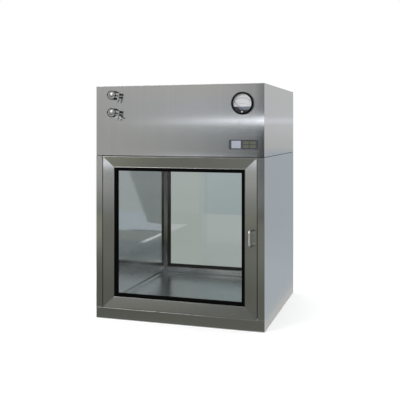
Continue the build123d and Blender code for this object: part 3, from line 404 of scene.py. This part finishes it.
# %% [markdown]
# ## Mats and lines
# The polished wall also mirrors what lies on the floor behind: mats, a bright line with its shadow
# and a dark line, such as a real room leaves in a mirror. Flat cards a few millimetres above the
# floor are enough, each a little higher than the one it covers.

# %% Mats and lines on the floor
line = [(0.375, 1.93), (0.417, 1.93), (0.427, 2.50), (0.385, 2.50)]
shadow = [(0.417, 1.90), (0.447, 1.90), (0.457, 2.52), (0.427, 2.52)]
plain_cards = {
    "light_mat": ("#B9BDBB", on_floor(-1.95, -1.15, 2.65, 3.2)),
    "light_line": ("#FFFFFF", [(*corner, 0.009) for corner in line]),
    "line_shadow": ("#7C8284", [(*corner, 0.008) for corner in shadow]),
    "dark_line": ("#6F7675", on_floor(0.37, 0.82, 2.62, 2.68)),
    "grey_mat": ("#929694", on_floor(0.20, 1.20, 2.05, 2.62, 0.005)),
}
for name, (tone, corners) in plain_cards.items():
    loose_card(name, corners, ((0.0, tone), (1.0, tone)))
outline = [(-0.05, 1.25), (0.56, 1.25), (0.56, 1.5), (0.95, 1.5), (0.95, 2.05), (-0.05, 2.05)]
mat_corners = [(*corner, 0.006) for corner in outline]
loose_card("dark_mat", mat_corners, ((0.0, "#82888A"), (1.0, "#8B9092")), "Y", 1.25, 2.05)
print("cards on the floor:", len(plain_cards) + 1)

# %% [markdown]
# ## Brushed stainless sheet
# Cabinet sheet is rolled, then ground with a belt in one direction. The belt leaves fine parallel
# scratches, so reflections stay sharp along the grain and smear across it. That is anisotropy, with
# a tangent that lies across the grain. Two noises do the rest: a stretched one for the scratches and
# a wide one for the slight waviness of thin sheet, which bends every reflection a little.

# %% Brushed stainless
GRAIN_MM = 1.2  # real scratches are a tenth of this, too fine to show
GRAIN_LENGTH_MM = 260.0
STREAK_MM = GRAIN_MM / 0.16  # coarser bands where the belt ran a little harder
SCRATCH_DEPTH_MM = 0.01
SHEET_WAVE_MM = 420.0
SHEET_WAVE_DEPTH_MM = 0.16
BOW_FROM = 0.435  # metres from the middle: the last 50 mm before the folded edge


def folded_edges(tree, place, bow):
    """Folding draws the sheet back a little beside the upright edges."""
    side = node(tree, "SeparateXYZ", {0: place}).outputs[0]
    side = node(tree, "Math", (side,), operation="ABSOLUTE")
    past = node(tree, "Math", (side, BOW_FROM), operation="SUBTRACT")
    past = node(tree, "Math", (past, 0.0), operation="MAXIMUM")
    square = node(tree, "Math", (past, past), operation="MULTIPLY")
    fall = node(tree, "Math", (square, -bow), operation="MULTIPLY")
    return node(tree, "Bump", {"Height": fall, "Strength": 1.0, "Distance": 1.0})


def brushed_stainless(name, tint, roughness, grain="Z", bow=0.0):
    """Belt-ground sheet whose scratches run along one axis."""
    material, tree = new_material(name)
    place = node(tree, "TexCoord").outputs["Object"]
    fine, long = 1 / (GRAIN_MM * MM), 1 / (GRAIN_LENGTH_MM * MM)
    stretch = [long if letter == grain else fine for letter in "XYZ"]
    across = node(tree, "Mapping", {"Vector": place, "Scale": stretch})
    coarse = node(tree, "Mapping", {"Vector": across, "Scale": (GRAIN_MM / STREAK_MM,) * 3})
    scratches = {"Vector": across, "Scale": 1.0, "Detail": 3.0, "Roughness": 0.6}
    scratches = node(tree, "TexNoise", scratches)
    streaks = node(tree, "TexNoise", {"Vector": coarse, "Scale": 1.0, "Detail": 2.0})
    streaks = node(tree, "MapRange", (streaks, 0.3, 0.7))
    shade = node(tree, "Mix", (streaks, toned(tint, 0.975), toned(tint, 1.02)), data_type="RGBA")
    gloss = node(tree, "MapRange", (scratches, 0.25, 0.75, roughness * 0.93, roughness * 1.07))

    wide = {"Vector": place, "Scale": 1 / (SHEET_WAVE_MM * MM), "Detail": 1.0}
    waves = {"Height": node(tree, "TexNoise", wide), "Distance": SHEET_WAVE_DEPTH_MM * MM}
    if bow:
        waves["Normal"] = folded_edges(tree, place, bow)
    waves = node(tree, "Bump", {"Strength": 1.0, **waves})
    lines = {"Height": scratches, "Strength": 0.1, "Distance": SCRATCH_DEPTH_MM * MM, "Normal": waves}
    surface = {
        "Base Color": shade,
        "Metallic": 1.0,
        "Roughness": gloss,
        "Anisotropic": 0.94,
        "Tangent": node(tree, "Tangent", direction_type="RADIAL", axis="Z"),
        "Normal": node(tree, "Bump", lines),
    }
    node(tree, "OutputMaterial", {"Surface": node(tree, "BsdfPrincipled", surface)})
    return material


print("grain width:", GRAIN_MM, "mm, length:", GRAIN_LENGTH_MM, "mm")

# %% [markdown]
# ## Dress the sheet metal
# All of it is the same steel, and only the grinding differs. The hood is folded from one wide sheet,
# so its edges are drawn back. The doors are ground after welding and are a touch duller. The roof
# and the perforated ceiling are ground across, and duller still.

# %% Cabinet, hood and doors
STEEL = srgb("#CBCCCB")


def dress(material, *names):
    """Gives CAD nodes a material in every slot."""
    for name in names:
        mesh = NODES[name].data
        mesh.materials.clear()
        mesh.materials.append(material)


upright_sheet = brushed_stainless("brushed_stainless_upright", STEEL, 0.13)
flat_sheet = brushed_stainless("brushed_stainless_flat", STEEL, 0.22, grain="Y")
hood_sheet = brushed_stainless("brushed_stainless_hood", STEEL, 0.13, bow=0.55)
door_sheet = brushed_stainless("brushed_stainless_door", STEEL, 0.15)
dress(hood_sheet, "upper_housing")
dress(upright_sheet, "left_side_panel", "right_side_panel", "base_plinth")
dress(upright_sheet, "front_seal_frame", "rear_seal_frame", "front_door_back", "rear_door_back")
dress(flat_sheet, "roof_panel", "diffuser_screen", "return_grille")
dress(door_sheet, "front_door_frame", "rear_door_frame")
print("sheet finishes:", [m.name for m in (upright_sheet, flat_sheet, hood_sheet, door_sheet)])

# %% [markdown]
# ## Buffed stainless
# Where steel has to wipe clean, or is touched, it is buffed after grinding until the scratches are
# gone. It mirrors softly, with faint cloudy patches where the wheel dwelt. A plain glossy metal would
# look like chrome, so a wide noise moves its gloss and another bends it a little.

# %% Buffed stainless
CLOUDS_PER_METRE = 9.0  # the wheel dwelt about every 110 mm
DENTS_PER_METRE = 2.2  # and pressed the sheet in over about 450 mm


def buffed_stainless(name, tint, roughness):
    """Buffed steel. Returns the material, its shader, its gloss and the place on the piece."""
    material, tree = new_material(name)
    place = node(tree, "TexCoord").outputs["Object"]
    cloud = node(tree, "TexNoise", {"Vector": place, "Scale": CLOUDS_PER_METRE, "Detail": 3.0})
    gloss = node(tree, "MapRange", (cloud, 0.3, 0.7, roughness * 0.8, roughness * 1.25))
    wide = node(tree, "TexNoise", {"Vector": place, "Scale": DENTS_PER_METRE, "Detail": 1.0})
    waves = node(tree, "Bump", {"Height": wide, "Strength": 1.0, "Distance": 0.2 * MM})
    surface = {"Base Color": tint, "Metallic": 1.0, "Roughness": gloss, "Normal": waves}
    shader = node(tree, "BsdfPrincipled", surface)
    node(tree, "OutputMaterial", {"Surface": shader})
    return material, shader, gloss, place


print("clouds about", round(1000 / CLOUDS_PER_METRE), "mm wide")

# %% [markdown]
# ## Chamber liner
# The chamber is one coved box of buffed steel. Goods are slid over its floor, which turns dull, and
# the foot of its walls is rubbed. Those areas are drawn by height above the floor, so that the
# mirror fades into satin steel without a hard line. Its colour is darker below 0.30 m, with a painted
# highlight along the cove at the foot of the walls and painted shade in the floor's rear right corner.

# %% Polished liner
LINER_TINT = srgb("#CFD3D6")
LINER_GLOSS = 0.05
WALL_WEAR = 0.14  # added roughness at the foot of the walls
FLOOR_WEAR = 0.07  # and a little more on the floor itself

liner_finish, shader, gloss, place = buffed_stainless("polished_liner", LINER_TINT, LINER_GLOSS)
tree = liner_finish.node_tree
x, y, level = node(tree, "SeparateXYZ", {0: place}).outputs
on_the_floor = node(tree, "MapRange", (level, 0.112, 0.092, 0.0, FLOOR_WEAR))
low_down = node(tree, "MapRange", (level, 0.34, 0.24, 0.0, WALL_WEAR))
gloss = node(tree, "Math", (gloss, on_the_floor), operation="ADD")
gloss = node(tree, "Math", (gloss, low_down), operation="ADD")

# The walls are darker below 0.30 m
lower_part = node(tree, "MapRange", (level, 0.36, 0.30))
liner_tone_and_painted_light = node(tree, "Mix", (lower_part, LINER_TINT, toned(LINER_TINT, 0.78)), data_type="RGBA")
# A painted highlight runs along the cove at the foot of the walls
rise = node(tree, "Math", (y, 0.184, level), operation="MULTIPLY_ADD")
foot = node(tree, "MapRange", (rise, 0.250, 0.225, 0.0, node(tree, "MapRange", (level, 0.105, 0.12))))
liner_tone_and_painted_light = node(tree, "Mix", (foot, liner_tone_and_painted_light, srgb("#F4F5F6")), data_type="RGBA")
# Painted shade darkens the floor in its rear right corner
painted_corner_shade = 1.0
for value, outside, inside in ((x, -0.12, 0.25), (y, 0.0, 0.3), (level, 0.12, 0.10)):
    painted_corner_shade = node(tree, "MapRange", (value, outside, inside, 0.0, painted_corner_shade))
liner_tone_and_painted_light = node(tree, "Mix", (painted_corner_shade, liner_tone_and_painted_light, toned(LINER_TINT, 0.42)), data_type="RGBA")
join(shader, {"Base Color": liner_tone_and_painted_light, "Roughness": gloss})
dress(liner_finish, "chamber_liner")
print("liner:", liner_finish.name, "with", len(tree.nodes), "nodes")

# %% [markdown]
# ## Clamps, caps and pull
# Small fittings are cast, tumbled with stones and buffed on top. Their colour carries painted light:
# what faces the front or the rear keeps the pale tint, and their sides are painted dark as shade,
# which is what makes them read at this size. A fitting's tone therefore follows the way its surface
# faces. The round rim of each clamp turns away from the light all the way round, so it gets a painted
# ring of shade. Only the grip of the pull stands out far enough to catch the light, so only it is
# painted pale, as a painted highlight.

# %% Fittings
# The dark ring on each clamp's rim is painted shade; these are where it begins and ends
RIM_INNER, RIM_OUTER = (0.0205, 0.0225), (0.0270, 0.0260)  # where the dark rim begins and ends
GRIP_REACH = 0.494  # the grip lies this far before or behind the middle of the box
GRIP_FADE = 0.008


def about(tree, across, up):
    """How far right of, above and away from a point of the front a spot lies."""
    x, _, z = node(tree, "SeparateXYZ", {0: node(tree, "TexCoord").outputs["Object"]}).outputs
    right = node(tree, "Math", (x, across), operation="SUBTRACT")
    above = node(tree, "Math", (z, up), operation="SUBTRACT")
    square = node(tree, "Math", (above, above), operation="MULTIPLY")
    square = node(tree, "Math", (right, right, square), operation="MULTIPLY_ADD")
    return right, above, node(tree, "Math", (square,), operation="SQRT")


def fitting_steel(name, tint, side_shade, roughness, turn=(0.25, 0.85), rims=(), grip=False):
    """Buffed steel with painted light: its sides are painted dark as shade, what faces the front or the rear
    stays pale.
    """
    material, shader, _, place = buffed_stainless(name, tint, roughness)
    tree = material.node_tree
    facing = node(tree, "NewGeometry").outputs["True Normal"]
    facing = node(tree, "SeparateXYZ", {0: facing}).outputs[1]
    facing = node(tree, "Math", (facing,), operation="ABSOLUTE")
    # Painted light: what faces the front or rear gets the tint, the sides a painted shade
    painted_lighting = node(tree, "MapRange", (facing, *turn))
    # On the pull, only the far-out grip is painted lit, as a painted highlight
    if grip:
        out = node(tree, "SeparateXYZ", {0: place}).outputs[1]
        out = node(tree, "Math", (out,), operation="ABSOLUTE")
        painted_lighting = node(tree, "MapRange", (out, GRIP_REACH - GRIP_FADE, GRIP_REACH, 0.0, painted_lighting))
    # Each clamp's rim gets a painted ring of shade
    for rim in rims:
        _, _, distance = about(tree, *rim)
        painted_rim_shade = node(tree, "MapRange", (distance, *RIM_INNER))
        painted_rim_shade = node(tree, "MapRange", (distance, *RIM_OUTER, 0.0, painted_rim_shade))
        painted_lighting = node(tree, "MapRange", (painted_rim_shade, 0.0, 1.0, painted_lighting, 0.0))
    join(shader, {"Base Color": node(tree, "Mix", (painted_lighting, side_shade, tint), data_type="RGBA")})
    return material


port_low, port_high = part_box("port_caps")
port_x = (port_low.x + port_high.x) / 2
cap_radius = (port_high.x - port_low.x) / 2
rims = [(port_x, port_high.z - cap_radius), (port_x, port_low.z + cap_radius)]
print("test ports at", [tuple(round(v, 3) for v in rim) for rim in rims])

# %% [markdown]
# ## Dress the fittings
# Clamps come dull from the tumbler, caps are spun on a lathe, and wing nuts are buffed brightest,
# because fingers polish them further. The pull is satin, not mirror bright: its grip is painted pale
# as a highlight, so that it looks pale from every side. Clamps, caps and the rest of the pull carry
# painted shade.

# %% Dress the fittings
PAINTED_SIDE_SHADE = srgb("#1E1F20")
clamp_finish = fitting_steel("clamp_with_painted_shade", srgb("#BEBFBF"), PAINTED_SIDE_SHADE, 0.2, rims=rims)
cap_finish = fitting_steel("cap_with_painted_shade", srgb("#B4B5B5"), PAINTED_SIDE_SHADE, 0.24)
nut_finish, *_ = buffed_stainless("buffed_nut", srgb("#F2F3F4"), 0.08)
pull_finish = fitting_steel(
    "pull_with_painted_highlight", srgb("#F8F9FA"), srgb("#9C9D9A"), 0.42, turn=(0.02, 0.3), grip=True
)
dress(clamp_finish, "clamp_eye_jaws", "clamp_fork_jaws", "clamp_pins", "clamp_bolts")
dress(cap_finish, "port_ferrules", "port_caps")
dress(nut_finish, "upper_wing_nut", "lower_wing_nut")
dress(pull_finish, "front_door_handle", "rear_door_handle", "door_pivot_pins", "roof_screws")
print("fittings:", [m.name for m in (clamp_finish, cap_finish, nut_finish, pull_finish)])

# %% [markdown]
# ## Moulded, painted and plated parts
# Moulds are spark eroded, and paint and plating follow the metal below them, so all three have a
# fine grit that breaks up the highlight, and a tone that drifts by a few per cent. Real grit is
# about 0.1 mm: here it is 0.8 mm, as coarse as it needs to be to show at all.

# %% Moulded surface
GRIT_MM = 0.8
GRIT_DEPTH_MM = 0.02
TONES_PER_METRE = 14.0  # the tone drifts over about 70 mm


def moulded(name, tint, roughness, metallic=0.0, specular=0.5):
    """A moulded, painted or plated surface with a fine texture."""
    material, tree = new_material(name)
    place = node(tree, "TexCoord").outputs["Object"]
    grit = node(tree, "TexNoise", {"Vector": place, "Scale": 1 / (GRIT_MM * MM), "Detail": 2.0})
    tone = node(tree, "TexNoise", {"Vector": place, "Scale": TONES_PER_METRE, "Detail": 2.0})
    tone = node(tree, "MapRange", (tone, 0.3, 0.7))
    surface = {
        "Base Color": node(tree, "Mix", (tone, toned(tint, 0.92), toned(tint, 1.06)), data_type="RGBA"),
        "Metallic": metallic,
        "IOR": 1.46,
        "Specular IOR Level": specular,
        "Roughness": node(tree, "MapRange", (grit, 0.3, 0.7, roughness * 0.85, roughness * 1.15)),
        "Normal": node(tree, "Bump", {"Height": grit, "Strength": 0.3, "Distance": GRIT_DEPTH_MM * MM}),
    }
    node(tree, "OutputMaterial", {"Surface": node(tree, "BsdfPrincipled", surface)})
    return material


print("grit:", GRIT_MM, "mm wide,", GRIT_DEPTH_MM, "mm deep")

# %% [markdown]
# ## Rubber and seals
# The glazing profile is black EPDM rubber, extruded: it drinks the light, so its tone is nearly black
# and it hardly shines. The door seals are pale silicone with a dull sheen. The steel deck sheet between
# cabinet and hood is dressed near black as painted shade, so the shadow gap shows as one thin line.

# %% Rubber and seals
dress(
    moulded("glazing_rubber", srgb("#020202"), 0.9, specular=0.12),
    "front_glazing_gasket", "rear_glazing_gasket",
)
dress(moulded("silicone", srgb("#C9C9C2"), 0.5), "door_seals", "port_gaskets", "filter_gasket")
# The deck sheet is steel: its near black is painted shade for the gap between cabinet and hood
dress(moulded("deck_painted_shade", srgb("#0B0B0B"), 0.8), "deck_panel")
print("seals dressed")

# %% [markdown]
# ## Glass
# Float glass is flat and clear, with a faint green from its iron. The gauge's lens is acrylic, and
# the lamp's tube is quartz with a slight haze. All are solids, so the shader only needs full
# transmission and the right index. Lamps shine straight through, as they nearly do in a flat pane.

# %% Glass
def clear_glass(name, tint, roughness=0.0, ior=1.52):
    """Solid clear glass or acrylic."""
    material, tree = new_material(name)
    surface = {"Base Color": tint, "Roughness": roughness, "Transmission Weight": 1.0, "IOR": ior}
    solid = node(tree, "BsdfPrincipled", surface)
    clear = node(tree, "BsdfTransparent", {"Color": tint})
    from_lamp = node(tree, "LightPath").outputs["Is Shadow Ray"]
    passed = node(tree, "MixShader", (from_lamp, solid, clear))
    node(tree, "OutputMaterial", {"Surface": passed})
    return material


dress(clear_glass("float_glass", srgb("#FBFDFC")), "front_door_glass", "rear_door_glass")
dress(clear_glass("lens_acrylic", srgb("#FBFBFB"), ior=1.49), "gauge_lens")
dress(clear_glass("quartz", srgb("#F4F6FA"), 0.1), "germicidal_lamp")
print("panes:", [name for name in NODES if name.endswith("glass")])

# %% [markdown]
# ## The gauge's dial
# The dial is a silver painted plate with a screen-printed scale: an arc round the pointer's pivot,
# short and long ticks, and a title bar. They could be thin solids, but ink has no thickness that
# shows, so they are drawn in the material from their distance and angle about the pivot.

# %% Printed dial
ARC_RADIUS = 62 * MM
SWEEP = 0.785  # half the scale's angle, in radians
PIVOT_DROP = 84.8 * MM  # from the dial's top to the pivot
INK = srgb("#55575B")


def stroke(tree, value, low, high, soft, strength=1.0):
    """Strength between two values, with soft ends."""
    rising = node(tree, "MapRange", (value, low - soft, low + soft, 0.0, strength))
    return node(tree, "MapRange", (value, high + soft, high - soft, 0.0, rising))


def print_on(material, marks, ink):
    """Lays ink over the colour that a material already has."""
    shader = material.node_tree.nodes["Principled BSDF"]
    plain = shader.inputs["Base Color"].links[0].from_socket
    inked = node(material.node_tree, "Mix", (marks, plain, ink), data_type="RGBA")
    join(shader, {"Base Color": inked})


dial_low, dial_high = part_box("gauge_dial")
pivot = ((dial_low[0] + dial_high[0]) / 2, dial_high[2] - PIVOT_DROP)
dial_finish = moulded("dial_silver", srgb("#E9EAEC"), 0.38)
tree = dial_finish.node_tree
right, above, distance = about(tree, *pivot)
turn = node(tree, "Math", (right, above), operation="ARCTAN2")
on_scale = stroke(tree, turn, -SWEEP - 0.01, SWEEP + 0.01, 0.004)
marks = stroke(tree, distance, ARC_RADIUS - 0.5 * MM, ARC_RADIUS + 0.5 * MM, 0.1 * MM, on_scale)
for count, width, reach in ((25, 0.3 * MM, 2.5 * MM), (5, 0.6 * MM, 5 * MM)):
    phase = node(tree, "Math", (turn, SWEEP / count / 2), operation="PINGPONG")
    offset = node(tree, "Math", (phase, ARC_RADIUS), operation="MULTIPLY")
    ticks = node(tree, "MapRange", (offset, width, width / 2, 0.0, on_scale))
    ticks = stroke(tree, distance, ARC_RADIUS, ARC_RADIUS + reach, 0.1 * MM, ticks)
    marks = node(tree, "Math", (marks, ticks), operation="MAXIMUM")
title = stroke(tree, right, -0.016, 0.016, 0.001, 0.55)
title = stroke(tree, above, 0.0325, 0.0345, 0.0004, title)
marks = node(tree, "Math", (marks, title), operation="MAXIMUM")
print_on(dial_finish, marks, INK)
dress(dial_finish, "gauge_dial")
print("pivot of the pointer:", [round(v, 4) for v in pivot])

# %% [markdown]
# ## The rest of the gauge
# Its case is a black moulding. Under the dial an apron hides the works, part covered by a grey plate
# whose slanted end lies beside the pivot. The bezel is enamelled black, a shade glossier, the pointer
# is painted and the zero screw is white nylon.

# %% Case, bezel and pointer
case_finish = moulded("gauge_moulding", srgb("#08080A"), 0.35, specular=0.3)
tree = case_finish.node_tree
right, above, _ = about(tree, *pivot)
slant = node(tree, "Math", (above, 0.8, right), operation="MULTIPLY_ADD")
plate = node(tree, "MapRange", (slant, -0.014, -0.010))
plate = node(tree, "MapRange", (above, -0.004, 0.002, 0.0, plate))
print_on(case_finish, plate, srgb("#7F8892"))
dress(case_finish, "gauge_case")
dress(moulded("enamelled_black", srgb("#050506"), 0.4, specular=0.2), "gauge_bezel")
dress(moulded("pointer_paint", srgb("#1A1A1C"), 0.4), "gauge_pointer")
dress(moulded("white_nylon", srgb("#EFEFED"), 0.4), "gauge_zero_screw", "lamp_holders")
print("gauge pieces:", [name for name in NODES if name.startswith("gauge")])

# %% [markdown]
# ## The controller
# A dark grey ABS case holds a pale display behind a glossy window, and four olive silicone keys,
# which are the dullest part of it.

# %% Controller
dress(moulded("controller_abs", srgb("#43464B"), 0.42, specular=0.3), "controller_body")
dress(moulded("display_window", srgb("#9EA4B0"), 0.18), "controller_screen")
keys = [name for name in NODES if name.startswith("controller_key")]
dress(moulded("key_silicone", srgb("#5C6053"), 0.6, specular=0.3), *keys)
print("keys:", len(keys))

# %% [markdown]
# ## Inside the hood
# The works are seen only when the roof is off. Ducts are hot-dip galvanised, so they are pale and
# dull. The hanger and the armatures are zinc plated and a little brighter, the filter's frame is
# anodised aluminium, and its pleats are white glass paper. The fan and the covers are polyamide.

# %% Works
dress(moulded("grey_polyamide", srgb("#6E7073"), 0.5), "cable_gland", "door_magnets", "electrical_enclosure")
dress(moulded("galvanised", srgb("#A7ABAD"), 0.45, metallic=1.0), "supply_plenum", "blower_inlet")
zinc_plate = moulded("zinc_plate", srgb("#B4B6B6"), 0.35, metallic=1.0)
dress(zinc_plate, "motor_hanger", "front_armature", "rear_armature")
dress(moulded("anodised_aluminium", srgb("#BFC1C3"), 0.35, metallic=1.0), "filter_frame")
dress(moulded("filter_paper", srgb("#F0EFE8"), 0.9), "filter_media")
dress(moulded("powder_black", srgb("#1B1C1E"), 0.5), "blower_motor")
dress(moulded("impeller_polyamide", srgb("#2B2D30"), 0.5), "impeller")
print("finishes in all:", len(bpy.data.materials))

# %% [markdown]
# ## Check and finish
# Every piece needs a finish, so the last step counts the pieces that have one.

# %% Check and finish
dressed = [name for name, o in NODES.items() if o.data.materials and o.data.materials[0].use_nodes]
print("dressed:", len(dressed), "of", len(NODES))
